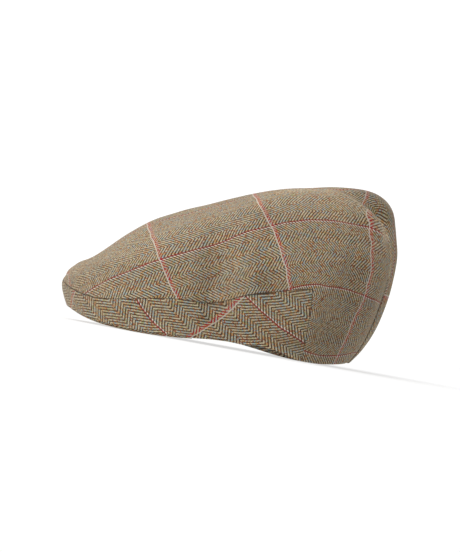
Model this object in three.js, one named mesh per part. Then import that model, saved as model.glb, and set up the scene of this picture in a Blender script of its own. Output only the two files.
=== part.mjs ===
import * as THREE from "three";

// A tweed flat cap, in millimetres: +Z up, peak toward -Y, the wearer's left on +X.
// The cloth surface is described by profiles. Each profile stands at an angle
// measured from the centre front (0) round the side (90) to the centre back (180).

const clothThickness = 2.2;
const peakThickness = 3.2;
const bandThickness = 1.4;
const bandHeight = 27;
const seamGap = 0.36;
const crownCentreZ = 127.4;
const crownCentreSlope = 0.34;
const floorLift = 0.72;
const centreShift = 1.2;

// Head opening seen from above, an ellipse, used where the peak meets it.
const openingHalfWidth = 79;
const openingHalfLength = 97;
const openingCentreY = 12.5;
const peakEndAngle = 74;
const peakInnerRise = 6.5;
const peakReveal = 3.5;

// The end seam of the side panel leans back toward the rim.
const endSeamAngle = 129;
const endSeamLean = 6.5;
const endSeamTop = 0.3;

const levelColumns = ["rim", "low", "wide", "shoulder", "upper", "high"];
const levelShare = [0, 0.14, 0.3, 0.48, 0.66, 0.84];
const topShare = 1;

// Radius (r) and height (z) of the cloth at each named level.
const profiles = [
  { angle: 0, rim: { r: 129.5, z: 9.6 }, low: { r: 136.8, z: 27 }, wide: { r: 131.2, z: 42 },
    shoulder: { r: 111, z: 57.5 }, upper: { r: 80, z: 86.8 }, high: { r: 41, z: 109 } },
  { angle: 20, rim: { r: 129.5, z: 6.8 }, low: { r: 136, z: 24 }, wide: { r: 133.5, z: 39.5 },
    shoulder: { r: 114, z: 56 }, upper: { r: 82, z: 86 }, high: { r: 42, z: 109 } },
  { angle: 36, rim: { r: 122, z: 1 }, low: { r: 126.5, z: 17 }, wide: { r: 126, z: 36.5 },
    shoulder: { r: 110, z: 57.5 }, upper: { r: 80, z: 85 }, high: { r: 41, z: 108.5 } },
  { angle: 55, rim: { r: 98, z: -0.5 }, low: { r: 103, z: 20 }, wide: { r: 104, z: 41 },
    shoulder: { r: 95, z: 67 }, upper: { r: 70, z: 93 }, high: { r: 37, z: 112 } },
  { angle: 80, rim: { r: 80.5, z: 2.9 }, low: { r: 86, z: 24 }, wide: { r: 88, z: 47 },
    shoulder: { r: 83, z: 77 }, upper: { r: 63, z: 103 }, high: { r: 34, z: 119 } },
  { angle: 100, rim: { r: 79.5, z: 4.3 }, low: { r: 86, z: 26 }, wide: { r: 90, z: 52 },
    shoulder: { r: 86, z: 84 }, upper: { r: 66, z: 112 }, high: { r: 36, z: 125 } },
  { angle: 120, rim: { r: 87.5, z: 1 }, low: { r: 94, z: 26 }, wide: { r: 100, z: 56 },
    shoulder: { r: 98, z: 92 }, upper: { r: 77, z: 121 }, high: { r: 41, z: 133 } },
  { angle: 138, rim: { r: 98.5, z: -0.7 }, low: { r: 106, z: 26 }, wide: { r: 114, z: 60 },
    shoulder: { r: 113, z: 98 }, upper: { r: 91, z: 128.5 }, high: { r: 47, z: 137 } },
  { angle: 157, rim: { r: 106, z: 1.2 }, low: { r: 116.7, z: 26 }, wide: { r: 127.5, z: 66 },
    shoulder: { r: 127, z: 106 }, upper: { r: 110, z: 137.8 }, high: { r: 58, z: 141.6 } },
  { angle: 180, rim: { r: 110.2, z: 3.8 }, low: { r: 125.7, z: 30 }, wide: { r: 134.7, z: 85 },
    shoulder: { r: 130.7, z: 116 }, upper: { r: 114.5, z: 144.8 }, high: { r: 60, z: 145.4 } },
];

// Share of the way up the profile at which the side panel meets the top.
const seamLine = [
  { angle: 0, share: 0.185 },
  { angle: 20, share: 0.157 },
  { angle: 37, share: 0.173 },
  { angle: 50, share: 0.193 },
  { angle: 68, share: 0.205 },
  { angle: 85, share: 0.201 },
  { angle: 97, share: 0.243 },
  { angle: 108, share: 0.269 },
  { angle: 124, share: 0.296 },
  { angle: 132, share: 0.3 },
  { angle: 180, share: 0.3 },
];

// The rear dart: its angle, how deep its groove is and how high the soft crest beside it.
const dartLine = [
  { share: 0, angle: 172, depth: 0.6, crest: 0 },
  { share: 0.1, angle: 169.5, depth: 0.8, crest: 0.2 },
  { share: 0.23, angle: 168, depth: 0.8, crest: 0.3 },
  { share: 0.395, angle: 165.5, depth: 1, crest: 0.6 },
  { share: 0.485, angle: 164, depth: 2, crest: 0.9 },
  { share: 0.55, angle: 162, depth: 3, crest: 1.1 },
  { share: 0.61, angle: 158, depth: 3.2, crest: 1.1 },
  { share: 0.67, angle: 156, depth: 2.5, crest: 0.9 },
  { share: 0.76, angle: 158, depth: 0.6, crest: 0.3 },
  { share: 0.82, angle: 160, depth: 0, crest: 0 },
  { share: 1, angle: 160, depth: 0, crest: 0 },
];
const dartGrooveWidth = 5.5;
const dartCrestWidth = 8;
const dartCrestAway = 10;

// Soft dents and folds: place, turn of the long axis from level, half sizes and height in mm.
const folds = [
  { angle: 88, share: 0.2, turn: 8, length: 17, width: 6, height: -2.4 },
  { angle: 84, share: 0.3, turn: 60, length: 20, width: 9, height: -1.2 },
  { angle: 104, share: 0.16, turn: 25, length: 20, width: 9, height: 1.2 },
  { angle: 142, share: 0.2, turn: 80, length: 30, width: 9, height: -2.6 },
  { angle: 142, share: 0.38, turn: 84, length: 17, width: 5, height: -1.3 },
  { angle: 150, share: 0.36, turn: 86, length: 26, width: 7, height: 1.2 },
  { angle: 30, share: 0.36, turn: 0, length: 26, width: 7, height: -1 },
];
const mmPerDegree = 1.6;
const mmPerShare = 185;

// Cubic through the given knots. Clamped: level at both ends. Otherwise natural at the start,
// and at the end either natural or leaving with the given slope.
function makeCurve(knots, values, clamped, endSlope = null) {
  const count = knots.length;
  const lower = new Array(count).fill(0);
  const middle = new Array(count).fill(1);
  const upper = new Array(count).fill(0);
  const right = new Array(count).fill(0);
  const slope = (i) => (values[i + 1] - values[i]) / (knots[i + 1] - knots[i]);
  for (let i = 1; i < count - 1; i += 1) {
    lower[i] = knots[i] - knots[i - 1];
    upper[i] = knots[i + 1] - knots[i];
    middle[i] = 2 * (lower[i] + upper[i]);
    right[i] = 6 * (slope(i) - slope(i - 1));
  }
  if (clamped) {
    upper[0] = knots[1] - knots[0];
    middle[0] = 2 * upper[0];
    right[0] = 6 * slope(0);
  }
  if (clamped || endSlope !== null) {
    lower[count - 1] = knots[count - 1] - knots[count - 2];
    middle[count - 1] = 2 * lower[count - 1];
    right[count - 1] = 6 * ((endSlope ?? 0) - slope(count - 2));
  }
  for (let i = 1; i < count; i += 1) {
    const factor = lower[i] / middle[i - 1];
    middle[i] -= factor * upper[i - 1];
    right[i] -= factor * right[i - 1];
  }
  const bend = new Array(count).fill(0);
  bend[count - 1] = right[count - 1] / middle[count - 1];
  for (let i = count - 2; i >= 0; i -= 1) {
    bend[i] = (right[i] - upper[i] * bend[i + 1]) / middle[i];
  }
  return (at) => {
    let i = 0;
    while (i < count - 2 && at > knots[i + 1]) {
      i += 1;
    }
    const step = knots[i + 1] - knots[i];
    const a = (knots[i + 1] - at) / step;
    const b = (at - knots[i]) / step;
    const cubic = (a * a * a - a) * bend[i] + (b * b * b - b) * bend[i + 1];
    return a * values[i] + b * values[i + 1] + (cubic * step * step) / 6;
  };
}

function tableCurve(rows, key, column, clamped) {
  const knots = rows.map((row) => row[key]);
  return makeCurve(knots, rows.map((row) => row[column]), clamped);
}

const profileAngles = profiles.map((row) => row.angle);
const radiusCurves = levelColumns.map((name) =>
  makeCurve(profileAngles, profiles.map((row) => row[name].r), true));
const heightCurves = levelColumns.map((name) =>
  makeCurve(profileAngles, profiles.map((row) => row[name].z), true));
const seamCurve = tableCurve(seamLine, "angle", "share", true);
const dartAngle = tableCurve(dartLine, "share", "angle", false);
const dartDepth = tableCurve(dartLine, "share", "depth", false);
const dartCrest = tableCurve(dartLine, "share", "crest", false);

// Profile at one angle. All of them reach the top point in one common tangent plane.
function profileAt(angle) {
  const knots = [...levelShare, topShare];
  const radii = radiusCurves.map((curve) => curve(angle));
  const heights = heightCurves.map((curve) => curve(angle));
  const radiusRate = (-1.02 * radii[5]) / (topShare - levelShare[5]);
  const heightRate = -radiusRate * crownCentreSlope * Math.cos(THREE.MathUtils.degToRad(angle));
  radii.push(0);
  heights.push(crownCentreZ);
  return {
    radius: makeCurve(knots, radii, false, radiusRate),
    height: makeCurve(knots, heights, false, heightRate),
  };
}

const profileStore = new Map();
function storedProfile(angle) {
  const key = angle.toFixed(4);
  if (!profileStore.has(key)) {
    profileStore.set(key, profileAt(angle));
  }
  return profileStore.get(key);
}

function foldHeight(angle, share) {
  let sum = 0;
  for (const fold of folds) {
    const turn = THREE.MathUtils.degToRad(fold.turn);
    const across = (angle - fold.angle) * mmPerDegree;
    const up = (share - fold.share) * mmPerShare;
    const along = (across * Math.cos(turn) + up * Math.sin(turn)) / fold.length;
    const aside = (up * Math.cos(turn) - across * Math.sin(turn)) / fold.width;
    sum += fold.height * Math.exp(-along * along - aside * aside);
  }
  const fromDart = (angle - dartAngle(share)) * mmPerDegree;
  const groove = fromDart / dartGrooveWidth;
  const crest = (fromDart + dartCrestAway) / dartCrestWidth;
  sum -= Math.max(0, dartDepth(share)) * Math.exp(-groove * groove);
  sum += Math.max(0, dartCrest(share)) * Math.exp(-crest * crest);
  return sum;
}

// Point on the outside of the cloth before folds. Negative angles are the wearer's right.
function plainPoint(angle, share) {
  const profile = storedProfile(Math.abs(angle));
  const turn = THREE.MathUtils.degToRad(angle);
  const r = profile.radius(share);
  return new THREE.Vector3(
    r * Math.sin(turn),
    centreShift - r * Math.cos(turn),
    profile.height(share) + floorLift,
  );
}

function surfaceNormal(angle, share) {
  const bend = Math.min(Math.max(share, 0.004), 0.985);
  const across = plainPoint(angle + 0.5, bend).sub(plainPoint(angle - 0.5, bend));
  const up = plainPoint(angle, bend + 0.004).sub(plainPoint(angle, bend - 0.004));
  return across.cross(up).normalize();
}

function clothPoint(angle, share, inward) {
  const wrapped = Math.abs(angle) > 180 ? angle - 360 * Math.sign(angle) : angle;
  if (share > 0.999) {
    return plainPoint(0, 1).add(new THREE.Vector3(0, -0.35, -0.94).multiplyScalar(inward));
  }
  const normal = surfaceNormal(wrapped, share);
  const raise = foldHeight(Math.abs(wrapped), share);
  return plainPoint(wrapped, share).addScaledVector(normal, raise - inward);
}

// The side panel's columns lean with its end seam.
function leanAngle(angle, share) {
  const size = Math.abs(angle);
  const near = Math.max(0, 1 - Math.abs(size - endSeamAngle) / 45);
  const ease = near * near * (3 - 2 * near);
  const lean = endSeamLean * Math.max(0, 1 - share / endSeamTop) * ease;
  return (size + lean) * Math.sign(angle || 1);
}

// Share at which the cloth is the given height above its own rim.
function shareAtRise(angle, rise) {
  const profile = storedProfile(Math.abs(angle));
  let low = 0;
  let high = 0.12;
  for (let i = 0; i < 24; i += 1) {
    const middle = (low + high) / 2;
    if (profile.height(middle) - profile.height(0) < rise) {
      low = middle;
    } else {
      high = middle;
    }
  }
  return (low + high) / 2;
}

function easeBetween(from, to, at) {
  const share = THREE.MathUtils.clamp((at - from) / (to - from), 0, 1);
  return share * share * (3 - 2 * share);
}

// Lowest share of the side panel: the edge of the peak shows below it in front.
function panelEdge(angle) {
  const rise = peakReveal * (1 - easeBetween(peakEndAngle + 0.6, peakEndAngle + 16, Math.abs(angle)));
  return rise > 0.01 ? shareAtRise(angle, rise) : 0;
}

// Closed body from a sheet of quads: an outer and an inner face joined round every open edge.
function shellGeometry(outer, inner, quads) {
  const positions = [];
  const index = [];
  const outerId = outer.map((point) => positions.push(point.x, point.y, point.z) / 3 - 1);
  const innerId = inner.map((point) => positions.push(point.x, point.y, point.z) / 3 - 1);
  const edges = new Map();
  const addTriangle = (a, b, c) => {
    if (a === b || b === c || c === a) {
      return;
    }
    index.push(outerId[a], outerId[b], outerId[c], innerId[a], innerId[c], innerId[b]);
    for (const [from, to] of [[a, b], [b, c], [c, a]]) {
      const back = `${to},${from}`;
      if (edges.has(back)) {
        edges.delete(back);
      } else {
        edges.set(`${from},${to}`, [from, to]);
      }
    }
  };
  for (const [a, b, c, d] of quads) {
    addTriangle(a, b, c);
    addTriangle(a, c, d);
  }
  for (const [from, to] of edges.values()) {
    index.push(outerId[to], outerId[from], innerId[from]);
    index.push(outerId[to], innerId[from], innerId[to]);
  }
  const geometry = new THREE.BufferGeometry();
  geometry.setAttribute("position", new THREE.Float32BufferAttribute(positions, 3));
  geometry.setIndex(index);
  geometry.computeVertexNormals();
  return geometry;
}

// Every value from one end to the other in even steps.
function evenSteps(from, to, count) {
  return Array.from({ length: count + 1 }, (_, i) => from + ((to - from) * i) / count);
}

function sheetShell(columns, rows, pointAt, closedRound) {
  const outer = [];
  const inner = [];
  const quads = [];
  for (let i = 0; i < columns.length; i += 1) {
    for (let j = 0; j < rows; j += 1) {
      outer.push(pointAt(columns[i], j / (rows - 1), 0));
      inner.push(pointAt(columns[i], j / (rows - 1), 1));
    }
  }
  const last = closedRound ? columns.length : columns.length - 1;
  for (let i = 0; i < last; i += 1) {
    const next = (i + 1) % columns.length;
    for (let j = 0; j < rows - 1; j += 1) {
      quads.push([i * rows + j, next * rows + j, next * rows + j + 1, i * rows + j + 1]);
    }
  }
  return shellGeometry(outer, inner, quads);
}

function tweedMaterial(name, colour, roughness) {
  const material = new THREE.MeshStandardMaterial({ color: colour, roughness, metalness: 0 });
  material.name = name;
  return material;
}

// One-piece top: it runs to the side seam in front and down to the rim behind the end seams.
function crownTop() {
  const gapShare = seamGap / 2 / mmPerShare;
  const gapAngle = seamGap / 2 / mmPerDegree;
  const backStart = endSeamAngle + gapAngle;
  const front = evenSteps(0, endSeamAngle - 3, 24);
  const behind = evenSteps(backStart, 180, 15);
  const half = [...front, ...behind];
  const columns = [...half.slice(1, -1).reverse().map((a) => -a), ...half];
  const upperRows = [0, 0.07, 0.15, 0.24, 0.34, 0.44, 0.54, 0.64, 0.74, 0.84, 0.93, 1];
  const lowerRows = [0, 0.13, 0.3, 0.5, 0.75];
  const outer = [];
  const inner = [];
  const ids = new Map();
  const addPoint = (key, angle, share) => {
    if (!ids.has(key)) {
      const leant = leanAngle(angle, share);
      outer.push(clothPoint(leant, share, 0));
      inner.push(clothPoint(leant, share, clothThickness));
      ids.set(key, outer.length - 1);
    }
    return ids.get(key);
  };
  const upperId = (column, row) => {
    const base = seamCurve(Math.abs(column)) + gapShare;
    const share = base + (1 - base) * upperRows[row];
    const key = row === upperRows.length - 1 ? "top" : `u${column.toFixed(3)},${row}`;
    return addPoint(key, column, share);
  };
  const lowerId = (column, row) => {
    if (row === lowerRows.length) {
      return upperId(column, 0);
    }
    const share = (seamCurve(Math.abs(column)) + gapShare) * lowerRows[row];
    return addPoint(`l${column.toFixed(3)},${row}`, column, share);
  };
  const quads = [];
  for (let i = 0; i < columns.length; i += 1) {
    const here = columns[i];
    const next = columns[(i + 1) % columns.length];
    for (let row = 0; row < upperRows.length - 1; row += 1) {
      quads.push([upperId(here, row), upperId(next, row), upperId(next, row + 1), upperId(here, row + 1)]);
    }
    const behindSeam = Math.abs(here) >= backStart - 1e-6 && Math.abs(next) >= backStart - 1e-6;
    if (!behindSeam) {
      continue;
    }
    for (let row = 0; row < lowerRows.length; row += 1) {
      quads.push([lowerId(here, row), lowerId(next, row), lowerId(next, row + 1), lowerId(here, row + 1)]);
    }
  }
  const mesh = new THREE.Mesh(shellGeometry(outer, inner, quads), tweedMaterial("tweed_top", 0x8d7c62, 0.95));
  mesh.name = "crown_top";
  return mesh;
}

// Side panel from the centre front round to its end seam, standing on the peak in front.
function sidePanel(name, side) {
  const gapAngle = seamGap / 2 / mmPerDegree;
  const columns = evenSteps(seamGap / 2 / 2.36, endSeamAngle - gapAngle, 34);
  const signed = side > 0 ? columns : columns.map((a) => -a).reverse();
  const pointAt = (column, rise, depth) => {
    const bottom = panelEdge(column);
    const top = seamCurve(Math.abs(column)) - seamGap / 2 / mmPerShare;
    const share = bottom + (top - bottom) * rise;
    return clothPoint(leanAngle(column, share), share, depth * clothThickness);
  };
  const geometry = sheetShell(signed, 8, pointAt, false);
  const mesh = new THREE.Mesh(geometry, tweedMaterial(`tweed_${name}`, 0x7d6c54, 0.95));
  mesh.name = name;
  return mesh;
}

// Radius of the head opening's ellipse in a given direction.
function openingRadius(angle) {
  const turn = THREE.MathUtils.degToRad(angle);
  const x = Math.sin(turn) / openingHalfWidth;
  const y = -Math.cos(turn) / openingHalfLength;
  const shift = openingCentreY / openingHalfLength;
  const a = x * x + y * y;
  const b = -2 * y * shift;
  const c = shift * shift - 1;
  return (-b + Math.sqrt(b * b - 4 * a * c)) / (2 * a);
}

function peakPoint(angle, across, raise) {
  const profile = storedProfile(Math.abs(angle));
  const turn = THREE.MathUtils.degToRad(angle);
  const outerR = profile.radius(0) + (raise > 0 ? 0.8 : -0.3);
  const innerR = openingRadius(angle);
  const r = outerR + (innerR - outerR) * across;
  const ease = Math.cos((turn * 90) / peakEndAngle);
  const rise = peakInnerRise * ease * across * across * (3 - 2 * across);
  const z = profile.height(0) + floorLift + rise + raise;
  return new THREE.Vector3(r * Math.sin(turn), centreShift - r * Math.cos(turn), z);
}

// Curved crescent board of the peak; its thin edge shows below the side panels.
function peak() {
  const columns = evenSteps(-peakEndAngle, peakEndAngle, 44);
  const pointAt = (column, across, depth) => peakPoint(column, 1 - across, depth * peakThickness);
  const geometry = sheetShell(columns, 8, (c, a, d) => pointAt(c, 1 - a, 1 - d), false);
  const mesh = new THREE.Mesh(geometry, tweedMaterial("tweed_peak", 0x5e5040, 0.95));
  mesh.name = "peak";
  return mesh;
}

// Sweatband: a thin ring standing just inside the head opening.
function sweatband() {
  const half = evenSteps(0, 180, 34);
  const columns = [...half.slice(1, -1).reverse().map((a) => -a), ...half];
  const pointAt = (column, rise, depth) => {
    const size = Math.abs(column);
    const turn = THREE.MathUtils.degToRad(column);
    const profile = storedProfile(size);
    const front = openingRadius(column) - 0.4;
    const behind = profile.radius(0) - clothThickness - 0.7;
    const toBack = easeBetween(70, 100, size);
    const flare = rise * 2.5 * easeBetween(80, 130, size);
    const r = front + (behind - front) * toBack + flare - depth * bandThickness;
    const peakRise = peakInnerRise * Math.cos(THREE.MathUtils.degToRad((Math.min(size, peakEndAngle) * 90) / peakEndAngle));
    const foot = profile.height(0) + floorLift + peakRise + 1.2 + 1.6 * toBack;
    const z = foot + rise * bandHeight;
    return new THREE.Vector3(r * Math.sin(turn), centreShift - r * Math.cos(turn), z);
  };
  const geometry = sheetShell(columns, 3, pointAt, true);
  const mesh = new THREE.Mesh(geometry, tweedMaterial("sweatband_cloth", 0x2f2a25, 0.8));
  mesh.name = "sweatband";
  return mesh;
}

const group = new THREE.Group();
group.name = "tweed_cap";
group.add(crownTop());
group.add(sidePanel("side_panel_left", 1));
group.add(sidePanel("side_panel_right", -1));
group.add(peak());
group.add(sweatband());

export default group;
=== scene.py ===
import math

import bpy
import numpy as np
from mathutils import Matrix, Vector


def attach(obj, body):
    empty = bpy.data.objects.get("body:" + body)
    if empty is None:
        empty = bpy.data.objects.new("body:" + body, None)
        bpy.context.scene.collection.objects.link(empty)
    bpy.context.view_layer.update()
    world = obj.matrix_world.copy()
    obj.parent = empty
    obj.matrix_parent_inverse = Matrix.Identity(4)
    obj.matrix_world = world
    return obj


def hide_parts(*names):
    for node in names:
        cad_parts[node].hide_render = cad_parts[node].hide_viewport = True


# A tweed flat cap. Shapes are worked out in millimetres in the CAD frame, then scaled to metres.
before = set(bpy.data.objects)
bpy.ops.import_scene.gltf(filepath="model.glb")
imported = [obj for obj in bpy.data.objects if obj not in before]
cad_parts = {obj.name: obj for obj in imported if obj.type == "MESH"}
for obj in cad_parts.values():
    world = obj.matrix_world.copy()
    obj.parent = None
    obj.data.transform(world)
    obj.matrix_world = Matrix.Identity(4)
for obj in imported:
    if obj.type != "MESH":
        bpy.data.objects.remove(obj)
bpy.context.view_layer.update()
scene = bpy.context.scene
print("stage: frame loaded")

cloth = {
    "thickness": 2.2, "hemRadius": 1.1, "seamRadius": 0.5, "seamGap": 0.36,
    "floorLift": 0.72, "centreShift": 1.2, "columnStep": 1.25,
}
crownCentre = {"z": 127.4, "slope": 0.34, "closing": 1.02}
endSeam = {"angle": 129.0, "lean": 6.5, "top": 0.3, "reach": 45}
dart = {"column": 164.0, "followedFrom": 136, "grooveWidth": 5.5, "crestAway": 10, "crestWidth": 8}
halfGap = cloth["seamGap"] / 2
mmPerDegree = 1.6
mmPerColumn = 2.1
mmPerShare = 185.0

levelShare = np.array([0, 0.14, 0.3, 0.48, 0.66, 0.84])
# angle, then radius and height at the rim, low, wide, shoulder, upper and high levels
profileRows = np.array([
    (0, 129.5, 9.6, 136.8, 27, 131.2, 42, 111, 57.5, 80, 86.8, 41, 109),
    (20, 129.5, 6.8, 136, 24, 133.5, 39.5, 114, 56, 82, 86, 42, 109),
    (36, 122, 1, 126.5, 17, 126, 36.5, 110, 57.5, 80, 85, 41, 108.5),
    (55, 98, -0.5, 103, 20, 104, 41, 95, 67, 70, 93, 37, 112),
    (80, 80.5, 2.9, 86, 24, 88, 47, 83, 77, 63, 103, 34, 119),
    (100, 79.5, 4.3, 86, 26, 90, 52, 86, 84, 66, 112, 36, 125),
    (120, 87.5, 1, 94, 26, 100, 56, 98, 92, 77, 121, 41, 133),
    (138, 98.5, -0.7, 106, 26, 114, 60, 113, 98, 91, 128.5, 47, 137),
    (157, 106, 1.2, 116.7, 26, 127.5, 66, 127, 106, 110, 137.8, 58, 141.6),
    (180, 110.2, 3.8, 125.7, 30, 134.7, 85, 130.7, 116, 114.5, 144.8, 60, 145.4),
])
# angle, share of the way up where the side panel meets the top
seamRows = np.array([
    (0, 0.185), (20, 0.157), (37, 0.173), (50, 0.193), (68, 0.205), (85, 0.201), (97, 0.243),
    (108, 0.269), (124, 0.296), (132, 0.3), (180, 0.3),
])
# share, angle of the rear dart, depth of its groove, height of the soft crest beside it
dartRows = np.array([
    (0, 172, 0.6, 0), (0.1, 169.5, 0.8, 0.2), (0.23, 168, 0.8, 0.3), (0.395, 165.5, 1, 0.6),
    (0.485, 164, 2, 0.9), (0.55, 162, 3, 1.1), (0.61, 158, 3.2, 1.1), (0.67, 156, 2.5, 0.9),
    (0.76, 158, 0.6, 0.3), (0.82, 160, 0, 0), (1, 160, 0, 0),
])
# angle, share, turn, length, width, height of each soft dent or fold
foldRows = [
    (88, 0.2, 8, 17, 6, -2.4), (84, 0.3, 60, 20, 9, -1.2), (104, 0.16, 25, 20, 9, 1.2),
    (142, 0.2, 80, 30, 9, -2.6), (142, 0.38, 84, 17, 5, -1.3), (150, 0.36, 86, 26, 7, 1.2),
    (30, 0.36, 0, 26, 7, -1),
]
# The same for the sharper puckers in the cloth itself
puckerRows = [
    (84, 0.19, 4, 13, 5, -1.6), (86, 0.235, 4, 14, 4, 0.5), (76, 0.2, 20, 8, 3.5, -0.8),
    (143, 0.375, 84, 13, 4, -1.0), (150, 0.375, 86, 18, 6, 0.5), (138, 0.22, 88, 22, 7, -1.0),
    (133, 0.46, 40, 12, 5, -0.5), (0, 0.37, 0, 45, 9, 1.2), (0, 0.215, 0, 45, 7, -1.2),
]


def bends(knots, values, clamped, endSlope=None):
    count = len(knots)
    step = np.diff(knots)
    slope = (values[1:] - values[:-1]) / step.reshape((-1,) + (1,) * (values.ndim - 1))
    system = np.eye(count)
    right = np.zeros_like(values)
    for i in range(1, count - 1):
        system[i, i - 1:i + 2] = step[i - 1], 2 * (step[i - 1] + step[i]), step[i]
        right[i] = 6 * (slope[i] - slope[i - 1])
    if clamped:
        system[0, :2] = 2 * step[0], step[0]
        right[0] = 6 * slope[0]
    if clamped or endSlope is not None:
        system[-1, -2:] = step[-1], 2 * step[-1]
        right[-1] = 6 * ((0 if endSlope is None else endSlope) - slope[-1])
    return np.linalg.solve(system, right.reshape(count, -1)).reshape(values.shape)


def curveAt(knots, values, bend, at):
    i = np.clip(np.searchsorted(knots, at) - 1, 0, len(knots) - 2)
    step = knots[i + 1] - knots[i]
    a = (knots[i + 1] - at) / step
    b = (at - knots[i]) / step
    if values.ndim == 1:
        low, high, bendLow, bendHigh = values[i], values[i + 1], bend[i], bend[i + 1]
    else:
        k = np.arange(len(at))
        low, high, bendLow, bendHigh = values[i, k], values[i + 1, k], bend[i, k], bend[i + 1, k]
    return a * low + b * high + ((a ** 3 - a) * bendLow + (b ** 3 - b) * bendHigh) * step * step / 6


profileBends = bends(profileRows[:, 0], profileRows[:, 1:], True)
seamBends = bends(seamRows[:, 0], seamRows[:, 1], True)
dartBends = bends(dartRows[:, 0], dartRows[:, 1:], False)


def seamShare(angle):
    return curveAt(seamRows[:, 0], seamRows[:, 1], seamBends, np.abs(angle))


def dartAt(share, column):
    return curveAt(dartRows[:, 0], dartRows[:, column + 1], dartBends[:, column], share)


def levels(size):
    return [curveAt(profileRows[:, 0], profileRows[:, 1 + k], profileBends[:, k], size) for k in range(12)]


def aroundPoint(radius, turn, height):
    # The cap's middle stands a little behind the origin, and the front is at minus y.
    return np.stack([radius * np.sin(turn), cloth["centreShift"] - radius * np.cos(turn), height], -1)


def plainPoint(angle, share):
    angle, share = np.broadcast_arrays(np.asarray(angle, float), np.asarray(share, float))
    shape = angle.shape
    turn = np.radians(angle.ravel())
    size = np.abs((angle.ravel() + 180) % 360 - 180)
    table = levels(size)
    radii = np.stack(table[0::2] + [0 * size])
    heights = np.stack(table[1::2] + [0 * size + crownCentre["z"]])
    knots = np.append(levelShare, 1.0)
    rate = -crownCentre["closing"] * radii[5] / (1 - levelShare[5])
    climb = -rate * crownCentre["slope"] * np.cos(np.radians(size))
    flat = share.ravel()
    r = curveAt(knots, radii, bends(knots, radii, False, rate), flat)
    z = curveAt(knots, heights, bends(knots, heights, False, climb), flat)
    return aroundPoint(r, turn, z + cloth["floorLift"]).reshape(shape + (3,))


def rowHeight(size, share, rows):
    total = np.zeros_like(size)
    for angle, place, turn, length, width, height in rows:
        c, s = math.cos(math.radians(turn)), math.sin(math.radians(turn))
        across = (size - angle) * mmPerDegree
        up = (share - place) * mmPerShare
        lengthwise, sidewise = (across * c + up * s) / length, (up * c - across * s) / width
        total += height * np.exp(-lengthwise ** 2 - sidewise ** 2)
    return total


def foldHeight(size, share):
    # The soft dents and folds, the groove of the rear dart and the low crest beside it.
    line, depth, crest = [dartAt(share.ravel(), k).reshape(share.shape) for k in range(3)]
    away = (size - line) * mmPerDegree
    total = rowHeight(size, share, foldRows)
    total -= np.maximum(0, depth) * swell(0, dart["grooveWidth"], away)
    return total + np.maximum(0, crest) * swell(-dart["crestAway"], dart["crestWidth"], away)


probe = {"degrees": 0.5, "share": 0.004, "highest": 0.985}


def surfaceNormal(angle, share):
    bent = np.clip(share, probe["share"], probe["highest"])
    across = plainPoint(angle + probe["degrees"], bent) - plainPoint(angle - probe["degrees"], bent)
    up = plainPoint(angle, bent + probe["share"]) - plainPoint(angle, bent - probe["share"])
    normal = np.cross(across, up)
    return normal / np.linalg.norm(normal, axis=-1, keepdims=True)


# Broad unevenness of soft cloth, the same for neighbouring panels
waves = {"seed": 7, "count": 9, "shortest": 26, "longest": 60, "height": 0.075}
rng = np.random.default_rng(waves["seed"])
waveDirections = rng.normal(size=(waves["count"], 3))
waveDirections /= np.linalg.norm(waveDirections, axis=1, keepdims=True)
waveLengths = rng.uniform(waves["shortest"], waves["longest"], waves["count"])
wavePhases = rng.uniform(0, 2 * math.pi, waves["count"])


def unevenness(point):
    total = np.zeros(point.shape[:-1])
    for direction, length, phase in zip(waveDirections, waveLengths, wavePhases):
        total += np.sin(point @ direction * 2 * math.pi / length + phase)
    return total * waves["height"]


rippleLengths = (7.2, 8.9, 10.7, 13.1, 17.3)


def ripple(along, seed):
    # Small puckers along a seam, about one high before they are scaled.
    local = np.random.default_rng(seed)
    total = np.zeros_like(along)
    for length in rippleLengths:
        total += np.sin(along * 2 * math.pi / length + local.uniform(0, 6.28)) * local.uniform(0.5, 1)
    return total / 2.4


def roundInset(distance, radius):
    near = np.clip(radius - distance, 0, radius)
    return radius - np.sqrt(np.maximum(0, radius * radius - near * near))


def ease(start, end, at):
    share = np.clip((at - start) / (end - start), 0, 1)
    return share * share * (3 - 2 * share)


def between(rise, fall, at):
    # One between the two slopes, and nought outside them.
    return ease(*rise, at) * (1 - ease(*fall, at))


def swell(centre, width, at):
    return np.exp(-((at - centre) / width) ** 2)


def leanAngle(column, share):
    # The end seam of the side panel leans back towards the rim.
    size = np.abs(column)
    near = np.maximum(0, 1 - np.abs(size - endSeam["angle"]) / endSeam["reach"])
    lean = endSeam["lean"] * np.maximum(0, 1 - share / endSeam["top"]) * near * near * (3 - 2 * near)
    return (size + lean) * np.where(column < 0, -1, 1)


def crownAngle(column, share):
    # Columns beside the rear dart follow it.
    size = np.abs(leanAngle(column, share))
    line = dartAt(np.clip(share, 0, 1).ravel(), 0).reshape(share.shape)
    before, after = ease(dart["followedFrom"], dart["column"], size), 1 - ease(dart["column"], 180, size)
    weight = np.where(size < dart["column"], before, after)
    return (size + (line - dart["column"]) * weight) * np.where(column < 0, -1, 1)


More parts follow.
